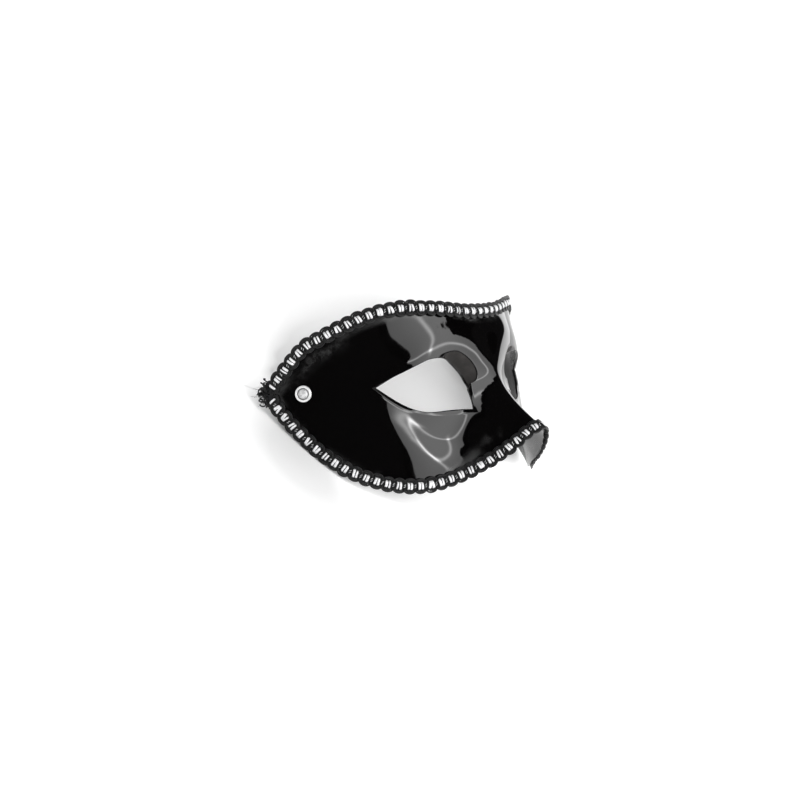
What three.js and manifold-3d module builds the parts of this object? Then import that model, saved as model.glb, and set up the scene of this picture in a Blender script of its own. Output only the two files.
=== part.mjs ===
// Half mask of glossy moulded plastic: one thin shell with two eye holes, a gimp braid glued round its edge
// and a domed rivet at each temple. It lies on the lower edges of its two sides, with the face leaning back.
import * as THREE from "three";
import { mergeVertices } from "three/addons/utils/BufferGeometryUtils.js";
import Module from "manifold-3d";

// Driving dimensions, in millimetres and degrees.
// In the face's own frame x runs across the face, y up it and z out of it, from the forehead's middle.
// The sheet is the mask laid out flat: w runs round the face from the middle line, and y runs up it.
const oval = { halfWidth: 81, depth: 89, girth: 85 };
const lean = { slope: 0.1698, bow: 0.00112, flare: 0.00084, flareSpan: 60 };
const brow = { rise: 2.17, side: 12.1, spread: 45, middle: 22.8, across: 18.6, up: 20.5, soft: 3.9 };
const browReach = { outside: 7.7, inside: 14, lower: -1.05, fadeAt: 5.4, fade: 2.7 };
const nose = { root: 14.2, blend: 7.9, rise: 2.24, ease: 56.9 };
const noseFlank = { width: 8.7, widening: 0.154, ridge: 4, foot: 0.27 };
const shell = { thick: 1, lip: 1.3, socketSlope: 1, edgeRows: 6, socketRows: 2 };
const braid = { inset: 2, halfWidth: 3.2, scallop: 0.3, gap: 0.35, edgeThick: 1.1, thick: 1.6 };
const loops = { count: 106, corner: 5, endGap: 0.4, samples: 600 };
const rivetPlace = { w: 89.2, y: -0.2 };
const rivet = { headRadius: 3.4, domeRadius: 2.3, sideRise: 0.4, rimRise: 1, domeRise: 1.7 };
const shank = { radius: 1.6, clearance: 0.3, boreLength: 8, flangeRadius: 3, flangeThick: 0.6, seat: 0.3 };
const turned = { sides: 24, arcSteps: 4 };
const rest = { tilt: 41, lift: 45.05, setBack: -8.77, blockSize: 400 };
const slopeStep = 0.05;
const mergeWithin = 1e-4;

// Outline of the right half on the sheet, in three runs that meet at the temple, the middle and the nose.
// The rim is the line where the face turns into the eye socket, and the lid is the edge of the eye hole.
const temple = [105.5, 0];
const foreheadMiddle = [0, 33.6];
const noseMiddle = [0, -15.2];
const rimCorner = [61.2, 2.1];
const rimTop = [19.9, 15.8];
const rimLow = [15.2, -9.9];
const lidCorner = [58.6, 2];
const lidTop = [20.6, 10.2];
const lidLow = [16.2, -8.4];
const topEdge = curve(
  temple,
  [105.5, 1, 88.5, 20, 86.5, 20.8],
  [72, 27.5, 59, 36, 39.5, 36],
  [21, 36, 20, 33.6, ...foreheadMiddle],
);
const lowEdge = curve(
  noseMiddle,
  [13.3, -20.2, 17.5, -40, 47, -40.2],
  [65, -40.2, 81.5, -32, 90.5, -22],
  [96, -16, 105.5, -5.5, ...temple],
);
const runs = [
  {
    steps: 26,
    edge: topEdge,
    rim: curve(rimCorner, [48, 7.5, 27.6, 18.6, ...rimTop]),
    lid: curve(lidCorner, [50.3, 6.4, 34.6, 19.2, ...lidTop]),
  },
  {
    steps: 12,
    edge: new THREE.Path().moveTo(...foreheadMiddle).lineTo(...noseMiddle),
    rim: curve(rimTop, [9.9, 11.7, 7.7, 3.1, 14.5, 2.2], [14.6, -2, 14.8, -6, ...rimLow]),
    lid: curve(lidTop, [10.5, 2.6, 16.6, 2.6, ...lidLow]),
  },
  {
    steps: 30,
    edge: lowEdge,
    rim: curve(rimLow, [34, -11, 46, -11.7, ...rimCorner]),
    lid: curve(lidLow, [37.3, -7.5, 37.8, -13, ...lidCorner]),
  },
];

const wasm = await Module();
wasm.setup();

function curve(start, ...beziers) {
  const path = new THREE.Path().moveTo(...start);
  for (const bezier of beziers) path.bezierCurveTo(...bezier);
  return path;
}

// How far out of the oval the face stands: it leans back, swells round each eye and rises to the nose.
function relief(x, y) {
  const flare = lean.flare * (x / lean.flareSpan) ** 2;
  const leaning = -lean.slope * y + (flare - lean.bow) * y * y;
  return leaning + brow.rise * browSwell(x, y) + noseRidge(x, y);
}

// The brow's crest is an elliptical ring round the eye. It swells above the eye and sinks below it, and fades
// with the distance from the ring.
function browSwell(x, y) {
  const across = Math.hypot(x, brow.soft);
  const away = (Math.hypot((across - brow.middle) / brow.across, y / brow.up) - 1) * brow.up;
  const reach = away > 0 ? browReach.outside : browReach.inside;
  const upper = 1 / (1 + Math.exp((browReach.fadeAt - y) / browReach.fade));
  const swell = Math.exp(-(((across - brow.side) / brow.spread) ** 2) - (away / reach) ** 2);
  return swell * (browReach.lower + (1 - browReach.lower) * upper);
}

// The nose rises steadily below its root, with a blunt ridge and flanks that end in a soft foot.
function noseRidge(x, y) {
  const below = (nose.root - y + Math.hypot(nose.root - y, nose.blend)) / 2;
  const height = (nose.rise * below * below) / (below + nose.ease);
  const halfWidth = noseFlank.width + noseFlank.widening * below;
  const out = (Math.hypot(x, noseFlank.ridge) - noseFlank.ridge) / halfWidth;
  return (height * softFall((1 - out) / noseFlank.foot)) / softFall(1 / noseFlank.foot);
}

function softFall(t) {
  return Math.log1p(Math.exp(t));
}

// A place of the sheet on the outer face, in the face's own frame.
function face(w, y) {
  const turn = w / oval.girth;
  const x = oval.halfWidth * Math.sin(turn);
  return new THREE.Vector3(x, y, oval.depth * (Math.cos(turn) - 1) + relief(x, y));
}

// How the outer face moves per millimetre of the sheet, across it and up it.
function slopes(w, y) {
  const across = face(w + slopeStep, y).sub(face(w - slopeStep, y));
  const up = face(w, y + slopeStep).sub(face(w, y - slopeStep));
  return [across, up].map((move) => move.divideScalar(2 * slopeStep));
}

function faceNormal(w, y) {
  const [across, up] = slopes(w, y);
  return across.cross(up).normalize();
}

// A place of the sheet, lifted off the outer face along its normal.
function lifted(w, y, height) {
  return face(w, y).addScaledVector(faceNormal(w, y), height);
}

function meshOf(triangles) {
  const geometry = new THREE.BufferGeometry().setFromPoints(triangles);
  return mergeVertices(geometry, mergeWithin);
}

function solidOf(geometry) {
  const bare = geometry.clone();
  bare.deleteAttribute("normal");
  bare.deleteAttribute("uv");
  const merged = mergeVertices(bare, mergeWithin);
  const vertProperties = merged.attributes.position.array;
  return new wasm.Manifold(new wasm.Mesh({ numProp: 3, vertProperties, triVerts: merged.index.array }));
}

function geometryOf(solid) {
  const { vertProperties, triVerts } = solid.getMesh();
  const geometry = new THREE.BufferGeometry();
  geometry.setAttribute("position", new THREE.BufferAttribute(new Float32Array(vertProperties), 3));
  geometry.setIndex(new THREE.BufferAttribute(new Uint32Array(triVerts), 1));
  return geometry;
}

// One quad as two triangles, turned round on the mirrored half.
function addQuad(triangles, a, b, c, d, mirrored) {
  triangles.push(...(mirrored ? [a, c, b, a, d, c] : [a, b, c, a, c, d]));
}

// Columns of the shell's grid, each a row of sheet places from the lid out to the edge, with its sink:
// the socket falls away from the rim at a constant slope.
function shellColumns() {
  const columns = [];
  for (const { steps, edge, rim, lid } of runs) {
    const [edges, rims, lids] = [edge, rim, lid].map((path) => path.getSpacedPoints(steps));
    for (let i = 0; i < steps; i++) {
      const depth = shell.socketSlope * Math.max(rims[i].distanceTo(lids[i]) - shell.lip, 0);
      const column = [];
      for (let j = 0; j < shell.socketRows; j++) {
        const t = j / shell.socketRows;
        column.push({ place: lids[i].clone().lerp(rims[i], t), sink: depth * (1 - t) });
      }
      for (let j = 0; j <= shell.edgeRows; j++)
        column.push({ place: rims[i].clone().lerp(edges[i], j / shell.edgeRows), sink: 0 });
      columns.push(column);
    }
  }
  return columns;
}

function shellGeometry() {
  const triangles = [];
  const columns = shellColumns();
  const middleFrom = runs[0].steps;
  const middleTo = middleFrom + runs[1].steps;
  for (const side of [1, -1]) {
    const outer = columns.map((column) =>
      column.map(({ place, sink }) => face(side * place.x, place.y).sub(new THREE.Vector3(0, 0, sink))),
    );
    const inner = columns.map((column, i) =>
      column.map(({ place }, j) =>
        outer[i][j].clone().addScaledVector(faceNormal(side * place.x, place.y), -shell.thick),
      ),
    );
    const last = columns[0].length - 1;
    columns.forEach((_, i) => {
      const k = (i + 1) % columns.length;
      for (let j = 0; j < last; j++) {
        addQuad(triangles, outer[i][j], outer[i][j + 1], outer[k][j + 1], outer[k][j], side < 0);
        addQuad(triangles, inner[i][j], inner[k][j], inner[k][j + 1], inner[i][j + 1], side < 0);
      }
      addQuad(triangles, inner[i][0], outer[i][0], outer[k][0], inner[k][0], side < 0);
      if (i < middleFrom || i >= middleTo)
        addQuad(triangles, outer[i][last], inner[i][last], inner[k][last], outer[k][last], side < 0);
    });
  }
  return meshOf(triangles);
}

// The edge as one clockwise loop on the sheet, from one temple over the forehead and back under the nose.
function edgeLoop() {
  const mirrored = (p) => new THREE.Vector2(-p.x, p.y);
  const [top, low] = [topEdge, lowEdge].map((path) => path.getSpacedPoints(loops.samples));
  const parts = [top.map(mirrored), top.toReversed(), low.toReversed(), low.map(mirrored)];
  return parts.flatMap((part) => part.slice(0, -1));
}

// The braid's middle line on the sheet, inside the edge, with its corners rounded by a running mean.
function braidLine() {
  const edge = edgeLoop();
  const count = edge.length;
  const at = (i) => edge[(i + count) % count];
  const inset = edge.map((p, i) => {
    const along = at(i + 1).clone().sub(at(i - 1)).normalize();
    const inwards = new THREE.Vector2(along.y, -along.x);
    return p.clone().addScaledVector(inwards, braid.inset / stretch(p, along, inwards));
  });
  const reach = Math.round((loops.corner * count) / lengthOf(edge));
  return inset.map((_, i) => {
    const mean = new THREE.Vector2();
    for (let j = -reach; j <= reach; j++) mean.add(inset[(i + j + count) % count]);
    return mean.divideScalar(2 * reach + 1);
  });
}

// How far apart in space two lines along the edge lie for each millimetre between them on the sheet.
function stretch(place, along, inwards) {
  const [across, up] = slopes(place.x, place.y);
  const [run, rise] = [along, inwards].map((move) =>
    across.clone().multiplyScalar(move.x).addScaledVector(up, move.y),
  );
  return run.clone().cross(rise).length() / run.length();
}

function lengthOf(points) {
  return points.reduce((sum, p, i) => sum + p.distanceTo(points[(i + 1) % points.length]), 0);
}

// Stations along the braid, evenly spaced in space: its place on the sheet and the step of the sheet that is
// one millimetre outwards, square to the braid.
function braidStations(count) {
  const line = braidLine();
  line.push(line[0]);
  const points = line.map((p) => face(p.x, p.y));
  const reached = [0];
  for (let i = 1; i < points.length; i++) reached.push(reached[i - 1] + points[i].distanceTo(points[i - 1]));
  const total = reached.at(-1);
  const stations = [];
  let i = 1;
  for (let k = 0; k <= count; k++) {
    const want = loops.endGap / 2 + ((total - loops.endGap) * k) / count;
    while (reached[i] < want) i++;
    const share = (want - reached[i - 1]) / (reached[i] - reached[i - 1]);
    const place = line[i - 1].clone().lerp(line[i], share);
    const along = points[i].clone().sub(points[i - 1]).normalize();
    stations.push({ place, out: outwardStep(place, along) });
  }
  return stations;
}

function outwardStep(place, along) {
  const [across, up] = slopes(place.x, place.y);
  const out = new THREE.Vector2(-up.dot(along), across.dot(along));
  const length = across.multiplyScalar(out.x).addScaledVector(up, out.y).length();
  return out.divideScalar(length);
}

// A closed solid through a row of rings that have the same number of points.
function loft(rings) {
  const triangles = [];
  const count = rings[0].length;
  for (let i = 0; i + 1 < rings.length; i++)
    for (let j = 0; j < count; j++) {
      const k = (j + 1) % count;
      addQuad(triangles, rings[i][j], rings[i][k], rings[i + 1][k], rings[i + 1][j], false);
    }
  const [first, last] = [rings[0], rings.at(-1)];
  for (let j = 1; j + 1 < count; j++) {
    triangles.push(first[0], first[j + 1], first[j]);
    triangles.push(last[0], last[j], last[j + 1]);
  }
  return meshOf(triangles);
}

// The braid as one strip, with two stations to a loop, so that its edges are scalloped.
function braidGeometry() {
  const rings = braidStations(2 * loops.count).map(({ place, out }, k) => {
    const wide = braid.halfWidth + (k % 2 ? braid.scallop : -braid.scallop);
    const at = (side, height) => {
      const spot = place.clone().addScaledVector(out, side * wide);
      return lifted(spot.x, spot.y, braid.gap + height);
    };
    const under = [at(-1, 0), at(0, 0), at(1, 0)];
    return [...under, at(1, braid.edgeThick), at(0, braid.thick), at(-1, braid.edgeThick)];
  });
  return loft(rings);
}

// Turned profile of a rivet, up its axis from the outer face: clinched flange, shank, rolled rim and dome.
function rivetGeometry() {
  const { radius, flangeRadius, flangeThick, seat } = shank;
  const { headRadius, domeRadius, sideRise, rimRise, domeRise } = rivet;
  const inside = -shell.thick - seat;
  const shoulder = seat + sideRise;
  const points = [
    new THREE.Vector2(0, inside - flangeThick),
    new THREE.Vector2(flangeRadius, inside - flangeThick),
    new THREE.Vector2(flangeRadius, inside),
    new THREE.Vector2(radius, inside),
    new THREE.Vector2(radius, seat),
    new THREE.Vector2(headRadius, seat),
  ];
  const rimReach = (headRadius - domeRadius) / 2;
  for (let i = 0; i <= turned.arcSteps; i++) {
    const angle = (Math.PI * i) / turned.arcSteps;
    const out = domeRadius + rimReach * (1 + Math.cos(angle));
    points.push(new THREE.Vector2(out, shoulder + (rimRise - sideRise) * Math.sin(angle)));
  }
  for (let i = 1; i < turned.arcSteps; i++) {
    const angle = (Math.PI * i) / (2 * turned.arcSteps);
    const up = shoulder + (domeRise - sideRise) * Math.sin(angle);
    points.push(new THREE.Vector2(domeRadius * Math.cos(angle), up));
  }
  points.push(new THREE.Vector2(0, seat + domeRise));
  return new THREE.LatheGeometry(points, turned.sides);
}

// Turns a shape from its own +Y to the outer face's normal at a temple.
function atRivet(side) {
  const [w, y] = [side * rivetPlace.w, rivetPlace.y];
  const turn = new THREE.Quaternion().setFromUnitVectors(new THREE.Vector3(0, 1, 0), faceNormal(w, y));
  return new THREE.Matrix4().compose(face(w, y), turn, new THREE.Vector3(1, 1, 1));
}

const materials = {
  shell: new THREE.MeshStandardMaterial({ color: 0x050505, roughness: 0.08, metalness: 0 }),
  braid: new THREE.MeshStandardMaterial({ color: 0x141416, roughness: 0.6, metalness: 0.1 }),
  rivet: new THREE.MeshStandardMaterial({ color: 0xc8c8cc, roughness: 0.2, metalness: 1 }),
};

const mask = new THREE.Group();
mask.rotation.x = THREE.MathUtils.degToRad(90 - rest.tilt);
mask.position.set(0, rest.setBack, rest.lift);
mask.updateMatrixWorld(true);

// Everything below the surface that the mask rests on, as a block in the mask's own frame.
function belowRest() {
  const size = rest.blockSize;
  const block = new THREE.BoxGeometry(size, size, size).translate(0, 0, -size / 2);
  return solidOf(block.applyMatrix4(mask.matrixWorld.clone().invert()));
}

function addPiece(name, geometry, material) {
  const piece = new THREE.Mesh(geometry, material);
  piece.name = name;
  mask.add(piece);
  return piece;
}

const boreRadius = shank.radius + shank.clearance;
let shellSolid = solidOf(shellGeometry()).subtract(belowRest());
for (const side of [-1, 1]) {
  const bore = new THREE.CylinderGeometry(boreRadius, boreRadius, shank.boreLength, turned.sides);
  shellSolid = shellSolid.subtract(solidOf(bore.applyMatrix4(atRivet(side))));
}
addPiece("mask_shell", geometryOf(shellSolid), materials.shell);
addPiece("braid_trim", geometryOf(solidOf(braidGeometry()).subtract(belowRest())), materials.braid);
const rivetSides = { rivet_right: -1, rivet_left: 1 };
for (const [name, side] of Object.entries(rivetSides)) {
  const piece = addPiece(name, rivetGeometry(), materials.rivet);
  atRivet(side).decompose(piece.position, piece.quaternion, piece.scale);
}

export default mask;
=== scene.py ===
# Glossy black half mask with a black and silver gimp braid and a rivet at each temple.
# Lengths are millimetres in the face's own frame: x across, y up the face, z out of it.
# The sheet is the face laid out flat: w runs round it from the middle line and y runs up it.
import math

import bmesh
import bpy
import numpy as np
from mathutils import Matrix


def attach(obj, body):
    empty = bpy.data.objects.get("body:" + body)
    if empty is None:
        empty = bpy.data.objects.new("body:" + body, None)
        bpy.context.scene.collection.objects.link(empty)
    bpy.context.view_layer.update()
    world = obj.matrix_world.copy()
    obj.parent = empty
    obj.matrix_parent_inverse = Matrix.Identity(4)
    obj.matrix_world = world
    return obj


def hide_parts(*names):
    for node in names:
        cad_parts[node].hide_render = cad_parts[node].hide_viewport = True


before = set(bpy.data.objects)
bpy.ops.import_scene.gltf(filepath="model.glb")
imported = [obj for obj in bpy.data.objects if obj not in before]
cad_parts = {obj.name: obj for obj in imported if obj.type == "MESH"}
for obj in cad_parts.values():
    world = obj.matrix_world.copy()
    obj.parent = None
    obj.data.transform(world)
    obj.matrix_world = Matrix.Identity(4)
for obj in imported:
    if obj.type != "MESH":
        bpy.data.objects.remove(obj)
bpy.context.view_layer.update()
metre = 1000  # millimetres in a metre
rng = np.random.default_rng(7)

# How the mask lies: the face leans back by tilt, in degrees, and is lifted off the surface at Z = 0.
rest = {"tilt": 41, "lift": 45.05, "setBack": -8.77}

# The face: the oval that the sheet is bent round, its lean, the brow's ring round the eye, and the nose.
oval = {"halfWidth": 81, "depth": 89, "girth": 85}
lean = {"slope": 0.1698, "bow": 0.00112, "flare": 0.00084, "flareSpan": 60}
brow = {"rise": 2.17, "side": 12.1, "spread": 45, "middle": 22.8, "across": 18.6, "up": 20.5, "soft": 3.9}
browReach = {"outside": 7.7, "inside": 14.0, "lower": -1.05, "fadeAt": 5.4, "fade": 2.7}
nose = {"root": 14.2, "blend": 7.9, "rise": 2.24, "ease": 56.9}
noseFlank = {"width": 8.7, "widening": 0.154, "ridge": 4, "foot": 0.27}

# Corners of one half on the sheet; the other half is its mirror image. The rim is the line where the
# face turns into the eye socket, and the lid is the edge of the eye hole.
temple = [105.5, 0]
foreheadMiddle = [0, 33.6]
noseMiddle = [0, -15.2]
rimCorner = [61.2, 2.1]
rimTop = [19.9, 15.8]
rimLow = [15.2, -9.9]
lidCorner = [58.6, 2]
lidTop = [20.6, 10.2]
lidLow = [16.2, -8.4]
curveSteps = 200  # short straight steps that stand for each cubic curve


# A row of cubic curves on the sheet, then count + 1 points evenly spaced along it. Each curve is the
# mean of its start, its two handles and its end, by the four shares of a cubic.
def spacedCurve(count, start, *beziers):
    t = np.linspace(0, 1, curveSteps + 1)[:, None]
    shares = (1 - t) ** 3, 3 * (1 - t) ** 2 * t, 3 * (1 - t) * t * t, t**3
    parts = []
    corner = np.array(start, float)
    for bezier in beziers:
        a, b, end = np.array(bezier, float).reshape(3, 2)
        parts.append(sum(share * place for share, place in zip(shares, (corner, a, b, end))))
        corner = end
    return spacedAlong(np.vstack(parts), count)


# Points spaced evenly by length along a row of points.
def spacedAlong(points, count):
    reached = lengthsAlong(points)
    want = np.linspace(0, reached[-1], count + 1)
    return np.stack([np.interp(want, reached, points[:, i]) for i in range(points.shape[1])], -1)


# The length reached at each point of a row: the running sum of the steps between them.
def lengthsAlong(points):
    return np.concatenate([[0], np.cumsum(np.linalg.norm(np.diff(points, axis=0), axis=1))])


# The half's upper edge, from the temple to the forehead's middle.
def topEdge(count):
    toBrow = [105.5, 1, 88.5, 20, 86.5, 20.8]
    toPeak = [72, 27.5, 59, 36, 39.5, 36]
    return spacedCurve(count, temple, toBrow, toPeak, [21, 36, 20, 33.6, *foreheadMiddle])


# Its lower edge, from under the nose back to the temple.
def lowEdge(count):
    toCheek = [13.3, -20.2, 17.5, -40, 47, -40.2]
    toSide = [65, -40.2, 81.5, -32, 90.5, -22]
    return spacedCurve(count, noseMiddle, toCheek, toSide, [96, -16, 105.5, -5.5, *temple])


# Relief: a slope up the face and a parabola that bows in the middle and flares with the square of x,
# with the brow's swell and the nose on it.
def relief(x, y):
    bend = lean["flare"] * (x / lean["flareSpan"]) ** 2 - lean["bow"]
    return -lean["slope"] * y + bend * y * y + brow["rise"] * browSwell(x, y) + noseRidge(x, y)


# The brow's crest is an elliptical ring round the eye: a bell of the distance from the ring, which
# swells above the eye, sinks below it and dies away to the sides.
def browSwell(x, y):
    across = np.hypot(x, brow["soft"])
    away = (np.hypot((across - brow["middle"]) / brow["across"], y / brow["up"]) - 1) * brow["up"]
    reach = np.where(away > 0, browReach["outside"], browReach["inside"])
    upper = 1 / (1 + np.exp((browReach["fadeAt"] - y) / browReach["fade"]))
    swell = np.exp(-(((across - brow["side"]) / brow["spread"]) ** 2) - (away / reach) ** 2)
    return swell * (browReach["lower"] + (1 - browReach["lower"]) * upper)


# The nose rises steadily below its root. Its flanks fall straight
# from a ridge that is blunted by a hyperbola to a soft foot.
def noseRidge(x, y):
    below = (nose["root"] - y + np.hypot(nose["root"] - y, nose["blend"])) / 2
    height = nose["rise"] * below**2 / (below + nose["ease"])
    halfWidth = noseFlank["width"] + noseFlank["widening"] * below
    out = (np.hypot(x, noseFlank["ridge"]) - noseFlank["ridge"]) / halfWidth
    return height * softFall((1 - out) / noseFlank["foot"]) / softFall(1 / noseFlank["foot"])


# A ramp with a soft start: the logarithm of 1 + e to the t, near 0 below 0 and near t above it.
def softFall(t):
    return np.log1p(np.exp(t))


# Outer face: the sheet bent round an oval, x by the sine and z by the cosine of w, with the relief on it.
def face(w, y):
    turn = w / oval["girth"]
    x = oval["halfWidth"] * np.sin(turn)
    return np.stack([x, y + 0 * w, oval["depth"] * (np.cos(turn) - 1) + relief(x, y)], -1)


# How the outer face moves per millimetre of the sheet, across it and up it.
def slopes(w, y, step=0.05):
    across = (face(w + step, y) - face(w - step, y)) / (2 * step)
    up = (face(w, y + step) - face(w, y - step)) / (2 * step)
    return across, up


# Vectors divided by their lengths.
def unit(vectors):
    return vectors / np.linalg.norm(vectors, axis=-1, keepdims=True)


# The direction straight out of the face: the cross product of its two slopes.
def faceNormal(w, y):
    return unit(np.cross(*slopes(w, y)))


# The outer face raised along its normal by height.
def lifted(w, y, height):
    return face(w, y) + faceNormal(w, y) * np.asarray(height)[..., None]


# A direction from the face's own frame to the scene's, turned about x by the tilt.
def turned(v):
    s, c = math.sin(math.radians(rest["tilt"])), math.cos(math.radians(rest["tilt"]))
    return np.stack([v[..., 0], v[..., 1] * s - v[..., 2] * c, v[..., 1] * c + v[..., 2] * s], -1)


# A point likewise, lifted to where the mask lies, and in metres.
def placed(points):
    return (turned(points) + [0, rest["setBack"], rest["lift"]]) / metre


# Camera, from the photograph: turn, rise and roll in degrees from straight in
# front of the face, how far the aim is from the face's origin to the left and
# down, the distance, and the lens, its film and its nearest reach in metres.
photoView = {"turn": 52.48, "rise": 6.06, "roll": -0.27, "aim": (39.07, 6.03), "away": 577}
photoLens = {"length": 60.94, "film": 36, "nearest": 0.01}


# The camera looks back along the line that the turn and the
# rise give; its right and up are turned by the roll.
def makeCamera():
    turn, rise, roll = (math.radians(photoView[k]) for k in ("turn", "rise", "roll"))
    back = np.array([-math.sin(turn) * math.cos(rise), math.sin(rise), math.cos(turn) * math.cos(rise)])
    flat = np.array([math.cos(turn), 0, math.sin(turn)])
    upright = np.cross(back, flat)
    right = math.cos(roll) * flat + math.sin(roll) * upright
    up = math.cos(roll) * upright - math.sin(roll) * flat
    aimRight, aimUp = photoView["aim"]
    spot = placed(photoView["away"] * back - aimRight * right - aimUp * up)
    data = bpy.data.cameras.new("photoCamera")
    data.lens = photoLens["length"]
    data.sensor_width = photoLens["film"]
    data.clip_start = photoLens["nearest"]
    camera = bpy.data.objects.new("photoCamera", data)
    axes = Matrix(np.stack([turned(right), turned(up), turned(back)], -1).tolist()).to_4x4()
    camera.matrix_world = Matrix.Translation(spot.tolist()) @ axes
    bpy.context.scene.collection.objects.link(camera)
    bpy.context.scene.camera = camera


makeCamera()
print("camera placed")


# Shader maths: a socket that can be used in sums, differences, products and quotients.
class Wire:
    def __init__(self, tree, socket):
        self.tree = tree
        self.socket = socket

    def math(self, operation, *values):
        return self.tree.add("ShaderNodeMath", {"operation": operation}, dict(enumerate((self, *values))))

    def __add__(self, other):
        return self.math("ADD", other)

    def __sub__(self, other):
        return self.math("SUBTRACT", other)

    def __mul__(self, other):
        return self.math("MULTIPLY", other)

    def __truediv__(self, other):
        return self.math("DIVIDE", other)

    def __rsub__(self, other):
        return (self * -1) + other

    __radd__ = __add__
    __rmul__ = __mul__

    # 0 below low, 1 above high, smooth between.
    def smooth(self, low, high):
        sockets = {"Value": self, "From Min": low, "From Max": high}
        return self.tree.add("ShaderNodeMapRange", {"interpolation_type": "SMOOTHSTEP"}, sockets)

    # A bell of height 1 round middle: e to minus the square of how many reaches away.
    def bell(self, middle, reach):
        away = (self - middle) / reach
        return ((away * away) * -1).math("EXPONENT")


# A node tree whose nodes come from one method: type, settings, then socket values or wires.
class Tree:
    def __init__(self, tree):
        self.nodes = tree.nodes
        self.links = tree.links
        self.nodes.clear()

    def add(self, kind, settings=None, sockets=None, out=0):
        node = self.nodes.new(kind)
        for key, value in (settings or {}).items():
            setattr(node, key, value)
        for key, value in (sockets or {}).items():
            if isinstance(value, Wire):
                self.links.new(value.socket, node.inputs[key])
            else:
                node.inputs[key].default_value = value
        return Wire(self, node.outputs[out]) if node.outputs else node

    # Where a place is: "Object" on the piece, "UV" on its UV map, "Generated" for the world's directions.
    def place(self, kind="Object"):
        return self.add("ShaderNodeTexCoord", None, None, kind)

    # A number that the piece keeps at each of its points.
    def kept(self, name):
        return self.add("ShaderNodeAttribute", {"attribute_name": name}, None, "Fac")

    def axes(self, vector):
        split = self.nodes.new("ShaderNodeSeparateXYZ")
        self.links.new(vector.socket, split.inputs[0])
        return [Wire(self, output) for output in split.outputs]

    # Colour a turned into colour b by the share. A Mix node has colours at inputs 6 and 7 and output 2.
    def mixed(self, share, a, b):
        a, b = (value if isinstance(value, Wire) else (*value, 1) for value in (a, b))
        return self.add("ShaderNodeMix", {"data_type": "RGBA"}, {0: share, 6: a, 7: b}, 2)

    def noise(self, where, scale, detail, rough):
        sockets = {"Vector": where, "Scale": scale, "Detail": detail, "Roughness": rough}
        return self.add("ShaderNodeTexNoise", None, sockets)

    # Noise of a scale, a detail and a roughness, made 0 where it is under low and 1 where it is over high.
    def patches(self, where, scale, detail, rough, low, high):
        return self.noise(where, scale, detail, rough).smooth(low, high)

    def bump(self, height, strength, distance):
        sockets = {"Height": height, "Strength": strength, "Distance": distance}
        return self.add("ShaderNodeBump", None, sockets)

    def surface(self, sockets):
        shader = self.add("ShaderNodeBsdfPrincipled", None, sockets)
        self.add("ShaderNodeOutputMaterial", None, {"Surface": shader})


# A material and its node tree, empty so far.
def newMaterial(name):
    material = bpy.data.materials.new(name)
    material.use_nodes = True
    return material, Tree(material.node_tree)


# Degrees between two faces over which the edge between them stays sharp.
sharpOver = {"shell": 50, "band": 35, "ribbon": 60, "cord": 70, "rivet": 35}


# A mesh from points and blocks of faces, its faces turned outwards and
# the edges over the angle kept sharp. The UV pairs are those of the
# first faces' corners, and the rest get 0. The piece rides on the mask.
def addPiece(name, points, blocks, material, sharpAngle, uv=None):
    mesh = bpy.data.meshes.new(name)
    mesh.from_pydata(points.tolist(), [], [face for block in blocks for face in block.tolist()])
    if uv is not None:
        pairs = np.zeros((len(mesh.loops), 2))
        pairs[: uv.size // 2] = uv.reshape(-1, 2)
        mesh.uv_layers.new(name="UVMap").data.foreach_set("uv", pairs.ravel())
    work = bmesh.new()
    work.from_mesh(mesh)
    bmesh.ops.recalc_face_normals(work, faces=work.faces)
    work.to_mesh(mesh)
    work.free()
    mesh.polygons.foreach_set("use_smooth", np.ones(len(mesh.polygons), bool))
    mesh.set_sharp_from_angle(angle=math.radians(sharpAngle))
    mesh.materials.append(material)
    piece = bpy.data.objects.new(name, mesh)
    bpy.context.scene.collection.objects.link(piece)
    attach(piece, "root")
    return piece


# A number for each point of a piece, for its material to read.
def addValues(piece, name, values):
    piece.data.attributes.new(name, "FLOAT", "POINT").data.foreach_set("value", values.astype(np.float32))


# Quads of a grid whose points are numbered row by row, closed each way on request.
def gridFaces(rows, columns, closedRows=False, closedColumns=False):
    numbers = np.arange(rows * columns).reshape(rows, columns)
    if closedRows:
        numbers = np.vstack([numbers, numbers[:1]])
    if closedColumns:
        numbers = np.hstack([numbers, numbers[:, :1]])
    return quadsOf(numbers)


# The quads between neighbours in a table of point numbers.
def quadsOf(numbers):
    corners = [numbers[:-1, :-1], numbers[1:, :-1], numbers[1:, 1:], numbers[:-1, 1:]]
    return np.stack([corner.ravel() for corner in corners], -1)


# Points that round to the same place, in steps of so many metres, are made one: gives the points kept,
# the faces with their new numbers, and which were kept.
def merged(points, faces, within=2e-7):
    keys = np.round(points / within).astype(np.int64)
    _, kept, back = np.unique(keys, axis=0, return_index=True, return_inverse=True)
    return points[kept], back.ravel()[faces], kept


# Shell: thickness, the width of socket wall that stays flush, the socket's
# slope, and the rounding of the crease and of the cut edge. Its grid: rows
# across the cut, the socket's wall and the face, and columns along each run.
shell = {"thick": 1.0, "lip": 1.3, "socketSlope": 1.0, "crease": 0.25, "cutRound": 0.3}
shellGrid = {"cutRows": 3, "wallRows": 12, "faceRows": 32, "top": 104, "middle": 48, "low": 120}
outlineSteps = 120  # points along each edge from which the distance to it is taken

# Dull part of the socket's wall, which also takes the paler colour of the painted reflection: how far off
# the cut and the rim it starts and how far it takes to come on, and the width under which a wall has none,
# with how much wider a wall has it in full.
dullReflectingWall = {"offCut": 0.25, "offRim": 0.4, "fade": 0.3, "narrow": 2.4, "widening": 1.2}


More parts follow.
